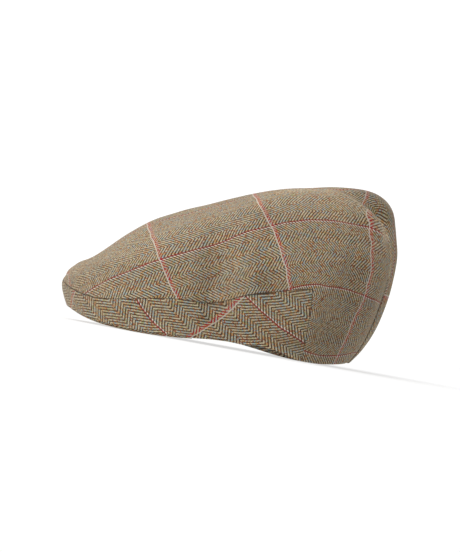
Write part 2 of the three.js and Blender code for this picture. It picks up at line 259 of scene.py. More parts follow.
# Where the check lines cross the top: kind, cloth coordinate in mm, then angle and share pairs.
topChecks = [
    ("v", 81, [(31.5, 0.175), (38, 0.28), (44, 0.35), (55.5, 0.43), (63, 0.456), (72, 0.475), (79, 0.49),
               (84.5, 0.508), (90, 0.535), (96, 0.555), (108.5, 0.564), (121, 0.574), (134.5, 0.58),
               (142, 0.56), (151, 0.54), (157, 0.515)]),
    ("v", 135, [(115.5, 0.27), (121, 0.295), (129.5, 0.325), (142.5, 0.315), (151, 0.295), (158, 0.27),
                (166.5, 0.24)]),
    ("v", 189, [(141, 0.038), (147, 0.04), (152, 0.045), (160.5, 0.063), (167, 0.08)]),
    ("u", -93.3, [(13.5, 0.67), (27, 0.65), (38.5, 0.6), (52.5, 0.45), (61.5, 0.29), (66, 0.215)]),
    ("u", 0, [(100.5, 0.855), (101.5, 0.72), (105.5, 0.61), (109.5, 0.54), (112.5, 0.465), (117, 0.375),
              (120.5, 0.31)]),
    ("u", 93.3, [(167, 0.72), (162, 0.695), (158.5, 0.665), (152.4, 0.637), (148.9, 0.6), (148.9, 0.52),
                 (149.3, 0.44), (149.9, 0.335), (150.1, 0.205), (153, 0.07)]),
    ("u", 114.5, [(163, 0.18), (163, 0.26), (163, 0.34), (163, 0.42)]),
    ("u", -186.7, [(14.5, 0.265), (19.5, 0.195)]),
]
sideChecks = [
    ("v", 27, [(51, 0.185), (53.5, 0.12), (55.5, 0.09), (58, 0.05), (62, 0.02)]),
    ("v", 99, [(100.5, 0.243), (109.5, 0.185), (119, 0.13), (127, 0.105), (134, 0.083)]),
    ("u", 0, [(97.5, 0.225), (95, 0.172), (88.5, 0.105), (83, 0.065), (76, 0.012)]),
    ("u", 93.3, [(25, 0.135), (22.5, 0.06)]),
]
laying = {"rounds": 60, "pinFirmness": 12.0, "leastStiff": 0.1, "mostStiff": 4, "leastPart": 0.2}


def settle(places, triangles, pins, start):
    # Each small triangle keeps its woven shape and only turns; soft pins hold the check lines in place.
    count = len(start)
    edge1 = places[triangles[:, 1]] - places[triangles[:, 0]]
    edge2 = places[triangles[:, 2]] - places[triangles[:, 0]]
    length = np.maximum(np.linalg.norm(edge1, axis=1), 1e-6)
    x2 = (edge1 * edge2).sum(1) / length
    y2 = np.linalg.norm(np.cross(edge1, edge2), axis=1) / length
    zero = np.zeros_like(length)
    # The cloth coordinates run the other way round from the outside of the surface.
    local = np.stack([np.stack([zero, zero], 1), np.stack([length, zero], 1), np.stack([x2, -y2], 1)], 1)
    system = np.zeros((count, count))
    corners = ((0, 1, 2), (1, 2, 0), (2, 0, 1))
    weights = []
    for a, b, opposite in corners:
        one, two = local[:, a] - local[:, opposite], local[:, b] - local[:, opposite]
        cross = np.abs(one[:, 0] * two[:, 1] - one[:, 1] * two[:, 0]) + 1e-6
        weight = np.clip((one * two).sum(1) / cross, laying["leastStiff"], laying["mostStiff"])
        weights.append(weight)
        p, q = triangles[:, a], triangles[:, b]
        for row, column, sign in ((p, p, 1), (q, q, 1), (p, q, -1), (q, p, -1)):
            np.add.at(system, (row, column), sign * weight)
    pinNodes, pinShares, pinAxis, pinTarget = pins
    firm = laying["pinFirmness"]
    solvers = []
    for axis in (0, 1):
        own = pinAxis == axis
        nodes, shares, target = pinNodes[own], pinShares[own], pinTarget[own]
        matrix = system + 1e-7 * np.eye(count)
        right = np.zeros(count)
        for a in range(4):
            np.add.at(right, nodes[:, a], firm * target * shares[:, a])
            for b in range(4):
                np.add.at(matrix, (nodes[:, a], nodes[:, b]), firm * shares[:, a] * shares[:, b])
        solvers.append((np.linalg.inv(matrix), right))
    at = start.copy()
    for _ in range(laying["rounds"]):
        cosine, sine = 0.0, 0.0
        for (a, b, _opposite), weight in zip(corners, weights):
            now = at[triangles[:, a]] - at[triangles[:, b]]
            was = local[:, a] - local[:, b]
            cosine = cosine + weight * (now * was).sum(1)
            sine = sine + weight * (now[:, 1] * was[:, 0] - now[:, 0] * was[:, 1])
        size = np.sqrt(cosine ** 2 + sine ** 2) + 1e-12
        cosine, sine = cosine / size, sine / size
        force = np.zeros((count, 2))
        for (a, b, _opposite), weight in zip(corners, weights):
            x, y = (local[:, a] - local[:, b]).T
            turned = np.stack([cosine * x - sine * y, sine * x + cosine * y], 1)
            np.add.at(force, triangles[:, a], weight[:, None] * turned)
            np.add.at(force, triangles[:, b], -weight[:, None] * turned)
        at = np.stack([inverse @ (pull + right) for (inverse, right), pull in zip(solvers, force.T)], 1)
    return at


def latticeTriangles(idSets, extra=()):
    # Outward-facing triangles of every whole cell, each once.
    made = [np.array(extra, int).reshape(-1, 3)]
    for ids in idSets:
        a, b, c, d = ids[:-1, :-1], ids[1:, :-1], ids[1:, 1:], ids[:-1, 1:]
        for trio in ((a, b, c), (a, c, d), (a, b, d), (b, c, d)):
            made.append(np.stack([k.ravel() for k in trio], 1))
    made = np.concatenate(made)
    return np.unique(made[(made >= 0).all(1)], axis=0)


def pinRows(checks, idsFor, angles, shares):
    # Each pin hangs on the four lattice nodes round it: nodes, their parts, the axis and the value.
    rows = []
    for kind, value, crossings in checks:
        for angle, share in crossings:
            ids = idsFor(angle)
            i, j = angle / angles[1], share / shares[1]
            i0 = min(int(math.floor(i)), len(angles) - 2)
            j0 = min(int(math.floor(j)), len(shares) - 2)
            fi, fj = i - i0, j - j0
            nodes = [ids[i0, j0], ids[i0 + 1, j0], ids[i0, j0 + 1], ids[i0 + 1, j0 + 1]]
            part = [(1 - fi) * (1 - fj), fi * (1 - fj), (1 - fi) * fj, fi * fj]
            part = [p if n >= 0 else 0 for p, n in zip(part, nodes)]
            whole = sum(part)
            if whole > laying["leastPart"]:
                rows.append(([max(n, 0) for n in nodes], [p / whole for p in part], int(kind == "v"), value))
    return rows


def packPins(rows):
    return tuple(np.array([row[k] for row in rows]) for k in range(4))


def filled(field):
    # Missing nodes continue their column in a straight line.
    out = field.copy()
    rows = np.arange(field.shape[1])
    for column in out:
        known = np.nonzero(~np.isnan(column[:, 0]))[0]
        if len(known) < 2:
            continue
        for missing in rows[:known[0]][::-1]:
            column[missing] = 2 * column[missing + 1] - column[missing + 2]
        for missing in rows[known[-1] + 1:]:
            column[missing] = 2 * column[missing - 1] - column[missing - 2]
    return out


def cubicWeights(f):
    # Shares of four neighbouring nodes, for a curve through the two in the middle
    return [-0.5 * f + f * f - 0.5 * f ** 3, 1 - 2.5 * f * f + 1.5 * f ** 3,
            0.5 * f + 2 * f * f - 1.5 * f ** 3, -0.5 * f * f + 0.5 * f ** 3]


def sampleField(field, angles, shares, angle, share, wraps):
    i = (angle - angles[0]) / (angles[1] - angles[0])
    j = share / shares[1]
    count, rows = field.shape[:2]
    i0 = np.floor(i).astype(int)
    if not wraps:
        i0 = np.clip(i0, 0, count - 2)
    j0 = np.clip(np.floor(j).astype(int), 0, rows - 2)
    total = np.zeros(angle.shape + (2,))
    for a, wi in enumerate(cubicWeights(i - i0)):
        column = (i0 + a - 1) % count if wraps else np.clip(i0 + a - 1, 0, count - 1)
        for b, wj in enumerate(cubicWeights(np.minimum(j - j0, 1.0))):
            row = np.clip(j0 + b - 1, 0, rows - 1)
            total += (wi * wj)[..., None] * field[column, row]
    return total


def latticePoints(values):
    angles = np.arange(0, values["last"] + 1, values["step"])
    shares = np.linspace(0, values["highest"], values["rows"])
    grid, level = np.meshgrid(angles, shares, indexing="ij")
    point = plainPoint(grid, level) + surfaceNormal(grid, level) * foldHeight(grid, level)[..., None]
    return angles, shares, grid, level, point


# The lattice for the top: its steps, and the columns and rows that the flap and the dart's strip cover.
topLattice = {
    "step": 5.0, "last": 180, "rows": 27, "highest": 0.97, "lowerFrom": 124, "flapTo": 175,
    "stripFrom": 155, "sharedAbove": 0.68, "pinsOnFlapTo": 172, "apexShift": 12, "underSeam": 0.04,
}


def layTop():
    # The left half is settled, and the right half mirrors it.
    angles, shares, grid, level, point = latticePoints(topLattice)
    apex = plainPoint(np.array([0.0]), np.array([1.0]))[0]
    seam = seamShare(grid.ravel()).reshape(grid.shape) - topLattice["underSeam"]
    there = (level >= seam) | (grid >= topLattice["lowerFrom"])
    shared = level > topLattice["sharedAbove"]
    flap = -np.ones(grid.shape, int)
    inFlap = there & ((grid <= topLattice["flapTo"]) | shared)
    flap[inFlap] = np.arange(inFlap.sum())
    strip = np.where(shared, flap, -1)
    inStrip = ~shared & (grid >= topLattice["stripFrom"])
    strip[inStrip] = inFlap.sum() + np.arange(inStrip.sum())
    top = int(inFlap.sum() + inStrip.sum())
    place = np.zeros((top + 1, 3))
    flat = np.zeros((top + 1, 2))
    place[top] = apex
    spine = np.concatenate([point, np.broadcast_to(apex, (len(angles), 1, 3))], 1)
    arc = np.linalg.norm(np.diff(spine, axis=1), axis=2)[:, ::-1].cumsum(1)[:, ::-1]
    turn = np.radians(grid)
    start = np.stack([topLattice["apexShift"] - arc * np.cos(turn), arc * np.sin(turn)], -1)
    for ids in (flap, strip):
        held = ids >= 0
        place[ids[held]] = point[held]
        flat[ids[held]] = start[held]
    last = [(p, q, top) for p, q in zip(flap[:-1, -1], flap[1:, -1])]
    triangles = latticeTriangles((flap, strip), last)
    flapTo = topLattice["pinsOnFlapTo"]
    pins = pinRows(topChecks, lambda angle: flap if angle <= flapTo else strip, angles, shares)
    middle = {int(n) for ids in (flap, strip) for column in (0, -1) for n in ids[column] if n >= 0}
    pins += [([n] * 4, [1, 0, 0, 0], 1, 0.0) for n in sorted(middle | {top})]
    laid = settle(place, triangles, packPins(pins), flat)
    fields = []
    for ids in (flap, strip):
        field = np.full(grid.shape + (2,), np.nan)
        field[ids >= 0] = laid[ids[ids >= 0]]
        half = filled(field)
        fields.append(np.concatenate([half[:0:-1] * [1, -1], half[:-1]]))
    return np.arange(-180, 180, topLattice["step"]), shares, fields[0], fields[1], laid[top]


# The side panels lie on the bias: the cloth's own directions are turned by a 3, 4, 5 triangle.
sideLattice = {
    "step": 4.0, "last": 148, "rows": 13, "highest": 0.36, "bias": (0.8, 0.6),
    "alongRow": 5, "startNode": (6, 3), "start": (93.3, 27.0),
}


def laySide():
    angles, shares, grid, level, point = latticePoints(sideLattice)
    ids = np.arange(grid.size).reshape(grid.shape)
    along = np.linalg.norm(np.diff(point[:, sideLattice["alongRow"]], axis=0), axis=1)
    along = np.concatenate([[0], along.cumsum()])[:, None] + 0 * level
    up = np.linalg.norm(np.diff(point, axis=1), axis=2).cumsum(1)
    up = np.concatenate([np.zeros((len(angles), 1)), up], 1)
    c, s = sideLattice["bias"]
    flat = np.stack([-s * along + c * up, c * along + s * up], -1).reshape(-1, 2)
    # The cross line and the long line meet near this node.
    flat += np.array(sideLattice["start"]) - flat[ids[sideLattice["startNode"]]]
    pins = packPins(pinRows(sideChecks, lambda angle: ids, angles, shares))
    laid = settle(point.reshape(-1, 3), latticeTriangles((ids,)), pins, flat)
    return angles, shares, laid.reshape(grid.shape + (2,))


topAngles, topShares, flapField, stripField, apexCloth = layTop()
sideAngles, sideShares, sideField = laySide()
print("stage: cloth laid")


def topCloth(angle, share, strip):
    field = stripField if strip else flapField
    wrapped = (angle + 180) % 360 - 180
    inside = np.minimum(share, topShares[-1])
    laid = sampleField(field, topAngles, topShares, wrapped, inside, True)
    rest = np.clip((share - topShares[-1]) / (1 - topShares[-1]), 0, 1)[..., None]
    return laid * (1 - rest) + apexCloth * rest


def sideCloth(angle, share):
    laid = sampleField(sideField, sideAngles, sideShares, np.abs(angle), share, False)
    return laid * np.where(angle < 0, -1, 1)[..., None] ** np.array([0, 1])


def fineNear(values, centre, offsets, clear):
    kept = values[np.abs(values - centre) > clear]
    return np.unique(np.round(np.concatenate([kept, centre + np.array(offsets)]), 4))


def placed(name, data):
    made = bpy.data.objects.new(name, data)
    scene.collection.objects.link(made)
    return made


def meshObject(name, points, quads, cornerCloth, material):
    # Corners that share a vertex collapse a quad to a triangle, as round the top point.
    quads = np.asarray(quads)
    repeated = quads[:, 2] == quads[:, 3]
    loops = np.where(repeated, 3, 4)
    keep = np.ones(quads.shape, bool)
    keep[repeated, 3] = False
    mesh = bpy.data.meshes.new(name)
    mesh.vertices.add(len(points))
    mesh.vertices.foreach_set("co", (np.asarray(points) * 0.001).astype(np.float32).ravel())
    mesh.loops.add(int(loops.sum()))
    mesh.loops.foreach_set("vertex_index", quads[keep].astype(np.int32))
    mesh.polygons.add(len(quads))
    mesh.polygons.foreach_set("loop_start", np.concatenate([[0], loops.cumsum()[:-1]]).astype(np.int32))
    mesh.polygons.foreach_set("use_smooth", np.ones(len(quads), bool))
    layer = mesh.uv_layers.new(name="cloth")
    layer.uv.foreach_set("vector", np.asarray(cornerCloth)[keep].astype(np.float32).ravel())
    mesh.update(calc_edges=True)
    mesh.validate()
    piece = placed(name, mesh)
    mesh.materials.append(material)
    return piece


def closedShell(outer, inner, quads, clothA, clothB, useB):
    # Outer and inner face joined round every open edge; the cloth map may differ per quad.
    count = len(outer)
    quads = np.asarray(quads)
    laid = np.where(useB[:, None, None], clothB[quads], clothA[quads])
    edges = {}
    for number, quad in enumerate(quads):
        for k in range(4):
            p, q = int(quad[k]), int(quad[(k + 1) % 4])
            if p == q:
                continue
            if (q, p) in edges:
                del edges[(q, p)]
            else:
                edges[(p, q)] = (number, k)
    # A collapsed quad turns so that its repeated corner stays last.
    turned = quads[:, [0, 3, 2, 1]]
    turnedCloth = laid[:, [0, 3, 2, 1]]
    collapsed = quads[:, 2] == quads[:, 3]
    turned[collapsed] = quads[collapsed][:, [0, 2, 1, 1]]
    turnedCloth[collapsed] = laid[collapsed][:, [0, 2, 1, 1]]
    rim = []
    rimCloth = []
    for (p, q), (number, k) in edges.items():
        rim.append([q, p, p + count, q + count])
        a, b = laid[number, (k + 1) % 4], laid[number, k]
        rimCloth.append([a, b, b + cloth["hemRadius"], a + cloth["hemRadius"]])
    points = np.concatenate([outer, inner])
    allQuads = np.concatenate([quads, turned + count, np.array(rim)])
    return points, allQuads, np.concatenate([laid, turnedCloth, np.array(rimCloth)])


# Where the nap hides the weave: angle, share, half sizes in degrees and share, strength
rubbedRows = [
    (141, 0.16, 8, 0.14, 0.36), (91, 0.3, 7, 0.12, 0.25), (22, 0.3, 22, 0.26, 0.36),
    (151, 0.66, 7, 0.08, 0.5), (159, 0.52, 4, 0.05, 0.4), (5, 0.12, 16, 0.12, 0.15),
    (168, 0.66, 8, 0.09, -0.4), (172, 0.34, 13, 0.3, -0.4),
]
# Where shade and light are painted into the cloth's colour, the same way: positive is painted shade, negative
# a painted highlight
paintedShadeRows = [
    (140, 0.14, 10, 0.17, 0.2), (85, 0.19, 10, 0.03, 0.14), (144, 0.375, 6, 0.045, 0.14),
    (158, 0.18, 16, 0.2, 0.2), (77, 0.38, 6, 0.12, 0.17), (108, 0.62, 12, 0.05, 0.14),
    (107.5, 0.31, 5, 0.09, 0.14), (14, 0.13, 11, 0.1, 0.2), (47, 0.22, 14, 0.08, -0.1),
    (52, 0.05, 10, 0.07, -0.12), (167, 0.69, 7, 0.07, 0.22), (160, 0.52, 4, 0.06, -0.4),
    (140, 0.8, 22, 0.055, -0.34), (86, 0.235, 6, 0.02, -0.28), (152, 0.03, 12, 0.05, 0.1),
    (32, 0.36, 11, 0.08, 0.14), (125, 0.06, 8, 0.035, 0.16), (82, 0.12, 5, 0.04, 0.2),
    (112, 0.55, 16, 0.05, 0.08), (147, 0.57, 5, 0.04, 0.14), (59, 0.02, 9, 0.04, -0.14),
    (74, 0.47, 4, 0.06, 0.12), (77, 0.27, 4, 0.05, 0.14), (80, 0.15, 4, 0.04, 0.12),
    (146, 0.28, 6, 0.05, 0.12), (158, 0.27, 4, 0.05, 0.12), (21, 0.2, 5, 0.05, 0.12),
    (88, 0.215, 4, 0.02, -0.12), (74, 0.58, 6, 0.06, 0.1), (87, 0.66, 7, 0.04, 0.07),
    (105, 0.66, 5, 0.03, 0.1), (104, 0.35, 5, 0.04, 0.08), (158, 0.55, 6, 0.05, -0.17),
    (92, 0.41, 6, 0.05, -0.09), (58, 0.26, 6, 0.05, -0.11), (148, 0.14, 6, 0.05, 0.07),
    (64, 0.52, 5, 0.05, 0.07), (129, 0.08, 4, 0.03, 0.08), (172, 0.14, 4, 0.06, -0.13),
    (147, 0.38, 5, 0.06, 0.1), (82, 0.61, 10, 0.06, 0.06), (100, 0.43, 5, 0.05, 0.08),
    (103, 0.5, 5, 0.04, 0.06), (84, 0.22, 3, 0.02, -0.07), (85, 0.14, 5, 0.02, -0.08),
    (120, 0.29, 6, 0.03, 0.08),
]


def marksAt(rows, angle, share):
    size = np.abs(angle)
    total = np.zeros_like(size)
    for place, level, wide, high, strength in rows:
        total += strength * np.exp(-((size - place) / wide) ** 2 - ((share - level) / high) ** 2)
    return total


seamLine = {"dark": 0.5, "width": 0.7, "frontEnds": (30, 38), "sideStarts": (98, 101), "sideEnds": (109, 114)}


def seamShade(size, away):
    # The seam round the front of the nose and the one over the middle of the side are pressed deepest, and
    # painted shade darkens them most along the ditch.
    deep = 1 - ease(*seamLine["frontEnds"], size)
    deep = deep + between(seamLine["sideStarts"], seamLine["sideEnds"], size)
    return seamLine["dark"] * deep * swell(0, seamLine["width"], away)


def setMarks(piece, rubbed, shade):
    # Both go on every point, outside and inside, as the material reads them by name; the shade attribute
    # holds painted shade, and a painted highlight where it is negative.
    for name, values in (("rubbed", rubbed), ("shade", shade)):
        attribute = piece.data.attributes.new(name, "FLOAT", "POINT")
        attribute.data.foreach_set("value", np.tile(values.ravel(), 2).astype(np.float32))


def clothWalls(point, normal, raised, inset, hemInset, rimInset):
    # The outer and the inner face, with the cloth a little thinner where its edges are rounded.
    outer = point + normal * (raised - inset - rimInset)[..., None]
    depth = np.maximum(np.maximum(cloth["thickness"] - hemInset, rimInset + 0.05), inset + 0.3)
    return outer, point + normal * (raised - depth)[..., None]


evenTop = {"from": 0.62, "full": (0.74, 0.9), "degree": 6, "middleFrom": 0.97, "middleWeight": 0.3}


def evenTheTop(shares, point):
    # One smooth surface, fitted to the points, takes over in the flat middle of the top.
    flat = point.reshape(-1, 3)
    near = shares.ravel() > evenTop["from"]
    degree = evenTop["degree"]
    powers = [(i, j) for i in range(0, degree + 1, 2) for j in range(degree + 1 - i)]
    x, y = flat[:, 0] / 100, flat[:, 1] / 100
    terms = np.stack([x ** i * y ** j for i, j in powers], 1)
    weight = np.where(shares.ravel()[near] > evenTop["middleFrom"], evenTop["middleWeight"], 1.0)
    solved = np.linalg.lstsq(terms[near] * weight[:, None], flat[near, 2] * weight, rcond=None)[0]
    level = (terms @ solved).reshape(shares.shape)
    point[..., 2] += (level - point[..., 2]) * ease(*evenTop["full"], shares)


# The crown's mesh is finer beside its seams, the dart and the hem: distances in degrees or mm from each.
crown = {
    "upperRows": 72, "lowerRows": 25, "backHem": 1.3, "backHemFrom": (150, 172),
    "seamPucker": 0.2, "puckerFade": 5, "seamClear": 1.9, "dartClear": 3.6,
    "seamFine": [0.11, 0.2, 0.32, 0.48, 0.7, 1.0, 1.5],
    "dartFine": [0, 0.1, 0.22, 0.36, 0.55, 0.8, 1.1, 1.5, 2, 2.5, 3, 3.5,
                 -0.1, -0.22, -0.36, -0.6, -0.95, -1.4, -2, -2.8],
    "upperFine": [0, 0.12, 0.28, 0.5, 0.8, 1.2, 1.8, 2.6, 3.8],
    "hemFine": [0, 0.25, 0.55, 0.9, 1.3, 1.9, 2.8, 4],
}
# What stands beside the rear dart: heights and distances from it in mm, and pairs for the ends of a slope.
pleat = {
    "opens": (0.54, 0.68), "lap": 0.6, "lapRise": (-0.4, 2.2), "lapFall": (5, 10),
    "edge": 0.4, "edgeAt": 1.0, "edgeWidth": 0.9, "edgeRise": (0.22, 0.34), "edgeFall": (0.5, 0.6),
    "crease": 0.4, "creaseEnds": (0.24, 0.36), "creaseWidth": 0.4, "pucker": 0.1, "puckerFade": 4,
    "back": 1.5, "backRise": (0.05, 0.2), "backFall": (0.5, 0.62), "backAway": 11, "backWidth": 6,
    "valley": 3.2, "valleyRise": (0.47, 0.58), "valleyFall": (0.66, 0.84), "valleySides": (5.5, 6.5),
    "crest": 0.8, "crestRise": (0.44, 0.56), "crestFall": (0.68, 0.86), "crestAway": -10, "crestWidth": 6.5,
    "flank": 2.2, "flankRise": (0.52, 0.61), "flankFall": (0.68, 0.84),
    "flankNear": (2, 9), "flankFar": (9, 25),
}
# How much painted shade darkens the crease and the hollow, and how much the turned edge is lightened, partly
# as wear and partly as a painted highlight, and rubbed
pleatLook = {
    "crease": 0.55, "creaseEnds": (0.24, 0.34), "creaseAt": 0.2, "creaseWidth": 0.9,
    "hollow": 0.2, "hollowRise": (0.5, 0.57), "hollowFall": (0.72, 0.82),
    "hollowNear": (-4, 0), "hollowFar": (14, 22),
    "edge": 0.3, "rubbed": 0.8, "rubbedAt": 0.4, "rubbedWidth": 1.1,
}


def crownGrid():
    half = np.arange(0, 180.01, cloth["columnStep"])
    seamFine = crown["seamFine"]
    half = fineNear(half, endSeam["angle"], seamFine + [-f for f in seamFine], crown["seamClear"])
    half = fineNear(half, dart["column"], crown["dartFine"], crown["dartClear"])
    columns = np.concatenate([-half[1:-1][::-1], half])
    base = (seamShare(np.abs(columns)) + halfGap / mmPerShare)[:, None]
    hem, over = [np.array(crown[k]) / mmPerShare for k in ("hemFine", "upperFine")]
    below = hem[-1] + (base - hem[-1]) * np.linspace(0, 1, crown["lowerRows"] + 2)[1:-1]
    top = base + over[-1]
    above = top + (1 - top) * np.linspace(0, 1, crown["upperRows"] + 1)[1:]
    shares = np.concatenate([hem + 0 * base, below, base + over, above], 1)
    return columns, base, shares, len(hem) + crown["lowerRows"]


def lapEdge(shares, fromDart):
    # The turned edge of the pressed dart, which stands proud and catches the light.
    height = between(pleat["edgeRise"], pleat["edgeFall"], shares)
    return swell(pleat["edgeAt"], pleat["edgeWidth"], fromDart) * height


def pleatHeight(shares, fromDart):
    # The dart is pressed toward the middle, which stands a little proud.
    closed = 1 - ease(*pleat["opens"], shares)
    lap = between(pleat["lapRise"], pleat["lapFall"], fromDart) + pleat["edge"] * lapEdge(shares, fromDart)
    pucker = ripple(shares * mmPerShare, 5) * np.exp(-np.abs(fromDart) / pleat["puckerFade"])
    total = closed * (pleat["lap"] * lap + pleat["pucker"] * pucker)
    crease = (1 - ease(*pleat["creaseEnds"], shares)) * swell(0, pleat["creaseWidth"], fromDart)
    total -= pleat["crease"] * crease
    # Above it the side rolls over in a soft crest, and the back stands up steeply behind a valley.
    valley = swell(0, np.where(fromDart < 0, *pleat["valleySides"]), fromDart)
    total -= pleat["valley"] * between(pleat["valleyRise"], pleat["valleyFall"], shares) * valley
    for shape in ("back", "crest"):
        height = between(pleat[shape + "Rise"], pleat[shape + "Fall"], shares)
        total += pleat[shape] * height * swell(pleat[shape + "Away"], pleat[shape + "Width"], fromDart)
    flank = between(pleat["flankNear"], pleat["flankFar"], fromDart)
    return total + pleat["flank"] * between(pleat["flankRise"], pleat["flankFall"], shares) * flank


def pleatShade(shares, fromDart):
    # Painted shade darkens the crease and the hollow; the turned edge is lightened, partly as wear and partly
    # as a painted highlight.
    look = pleatLook
    crease = look["crease"] * (1 - ease(*look["creaseEnds"], shares))
    crease = crease * swell(look["creaseAt"], look["creaseWidth"], fromDart)
    hollow = look["hollow"] * between(look["hollowRise"], look["hollowFall"], shares)
    hollow = hollow * between(look["hollowNear"], look["hollowFar"], fromDart)
    return crease + hollow - look["edge"] * lapEdge(shares, fromDart)


def crownTop(material):
    columns, base, shares, lowerRows = crownGrid()
    column = np.broadcast_to(columns[:, None], shares.shape)
    behind = np.abs(columns) >= endSeam["angle"] + 0.1
    angle = crownAngle(column, shares)
    size = np.abs(angle)
    point = plainPoint(angle, shares)
    evenTheTop(shares, point)
    normal = surfaceNormal(angle, shares)
    # Distances in mm to the seams, the dart and the rim; the number for far away is any large one.
    farAway = 1000
    toFront = (shares - base) * mmPerShare + farAway * behind[:, None]
    toEnd = (np.abs(column) - endSeam["angle"]) * mmPerDegree - halfGap + 0.2
    toEnd = np.where((shares < base + 1e-9) & behind[:, None], toEnd, farAway)
    fromDart = (np.abs(column) - dart["column"]) * mmPerDegree
    toRim = shares * mmPerShare
    raised = foldHeight(size, shares) + rowHeight(size, shares, puckerRows) + unevenness(point)
    fade = np.exp(-np.maximum(toFront, 0) / crown["puckerFade"])
    pucker = ripple(np.abs(column) * mmPerColumn, 3) * fade
    raised += crown["seamPucker"] * pucker + pleatHeight(shares, fromDart)
    inset = roundInset(np.maximum(np.minimum(toFront, toEnd), 0), cloth["seamRadius"])
    hemRadius = cloth["hemRadius"] + crown["backHem"] * ease(*crown["backHemFrom"], size)
    rimInset = roundInset(toRim, hemRadius)
    outer, inner = clothWalls(point, normal, raised, inset, roundInset(toRim, cloth["hemRadius"]), rimInset)
    ids = np.arange(shares.size).reshape(shares.shape)
    ids[:, -1] = ids[0, -1]
    after = np.roll(ids, -1, 0)
    quads = np.stack([ids[:, :-1], after[:, :-1], after[:, 1:], ids[:, 1:]], -1)
    # In front of the end seams the crown has no rows below the side seam.
    kept = (behind & np.roll(behind, -1))[:, None] | (np.arange(shares.shape[1] - 1) >= lowerRows)
    middle = np.abs(columns + np.roll(columns, -1)) / 2
    middle[-1] = 180
    onStrip = np.broadcast_to(middle[:, None] > dart["column"], kept.shape)[kept]
    used, quads = np.unique(quads[kept], return_inverse=True)
    flapCloth, stripCloth = [topCloth(angle, shares, strip).reshape(-1, 2)[used] for strip in (False, True)]
    outer, inner = outer.reshape(-1, 3)[used], inner.reshape(-1, 3)[used]
    made = closedShell(outer, inner, quads.reshape(-1, 4), flapCloth, stripCloth, onStrip)
    piece = meshObject("crown_top_tweed", *made, material)
    pressed = swell(pleatLook["rubbedAt"], pleatLook["rubbedWidth"], fromDart)
    pressed = (1 - ease(*pleat["opens"], shares)) * pressed
    rubbed = marksAt(rubbedRows, angle, shares) + pleatLook["rubbed"] * pressed
    # Painted shade and highlights from the rows, the pleat and the seam
    shade = marksAt(paintedShadeRows, angle, shares) + pleatShade(shares, fromDart) + seamShade(size, toFront)
    setMarks(piece, rubbed.ravel()[used], shade.ravel()[used])
    return piece


panel = {
    "rows": 18, "frontMmPerDegree": 2.36, "topPucker": 0.22, "topFade": 5, "endPucker": 0.15, "endFade": 4,
    "startFine": [0.16, 0.3, 0.5, 0.8], "endFine": [1.3, 0.9, 0.6, 0.38, 0.22, 0.1, 0],
    "lowFine": [0, 0.25, 0.55, 0.9, 1.3, 1.7, 2.1, 2.5, 2.9, 3.4, 4.2],
    "topFine": [3.6, 2.6, 1.8, 1.2, 0.8, 0.5, 0.28, 0.12, 0],
    "overPeak": 0.7, "overPeakMore": 1.0, "moreFrom": (24, 40), "peakLeaves": (63, 77),
    "strip": 4.0, "stripStarts": (101, 111), "stripEnds": (122, 138), "stripDepth": 1.2,
    "stripPaintedShade": 0.5, "lip": 0.4, "lipWidth": 0.6, "lipPaintedHighlight": 0.36, "halvings": 24, "riseBelow": 0.12,
}


def rimRise(angle, rise):
    # Share at which the cloth is the given height above its own rim, found by halving.
    low = np.zeros_like(angle)
    high = np.full_like(angle, panel["riseBelow"])
    foot = plainPoint(angle, low)[..., 2]
    for _ in range(panel["halvings"]):
        middle = (low + high) / 2
        under = plainPoint(angle, middle)[..., 2] - foot < rise
        low = np.where(under, middle, low)
        high = np.where(under, high, middle)
    return (low + high) / 2


def panelEdge(angle):
    # The lower edge lets the peak's thin edge show below it.
    rise = panel["overPeak"] + panel["overPeakMore"] * ease(*panel["moreFrom"], angle)
    rise = rise * (1 - ease(*panel["peakLeaves"], angle))
    return np.where(rise > 0.01, rimRise(angle, rise), 0)


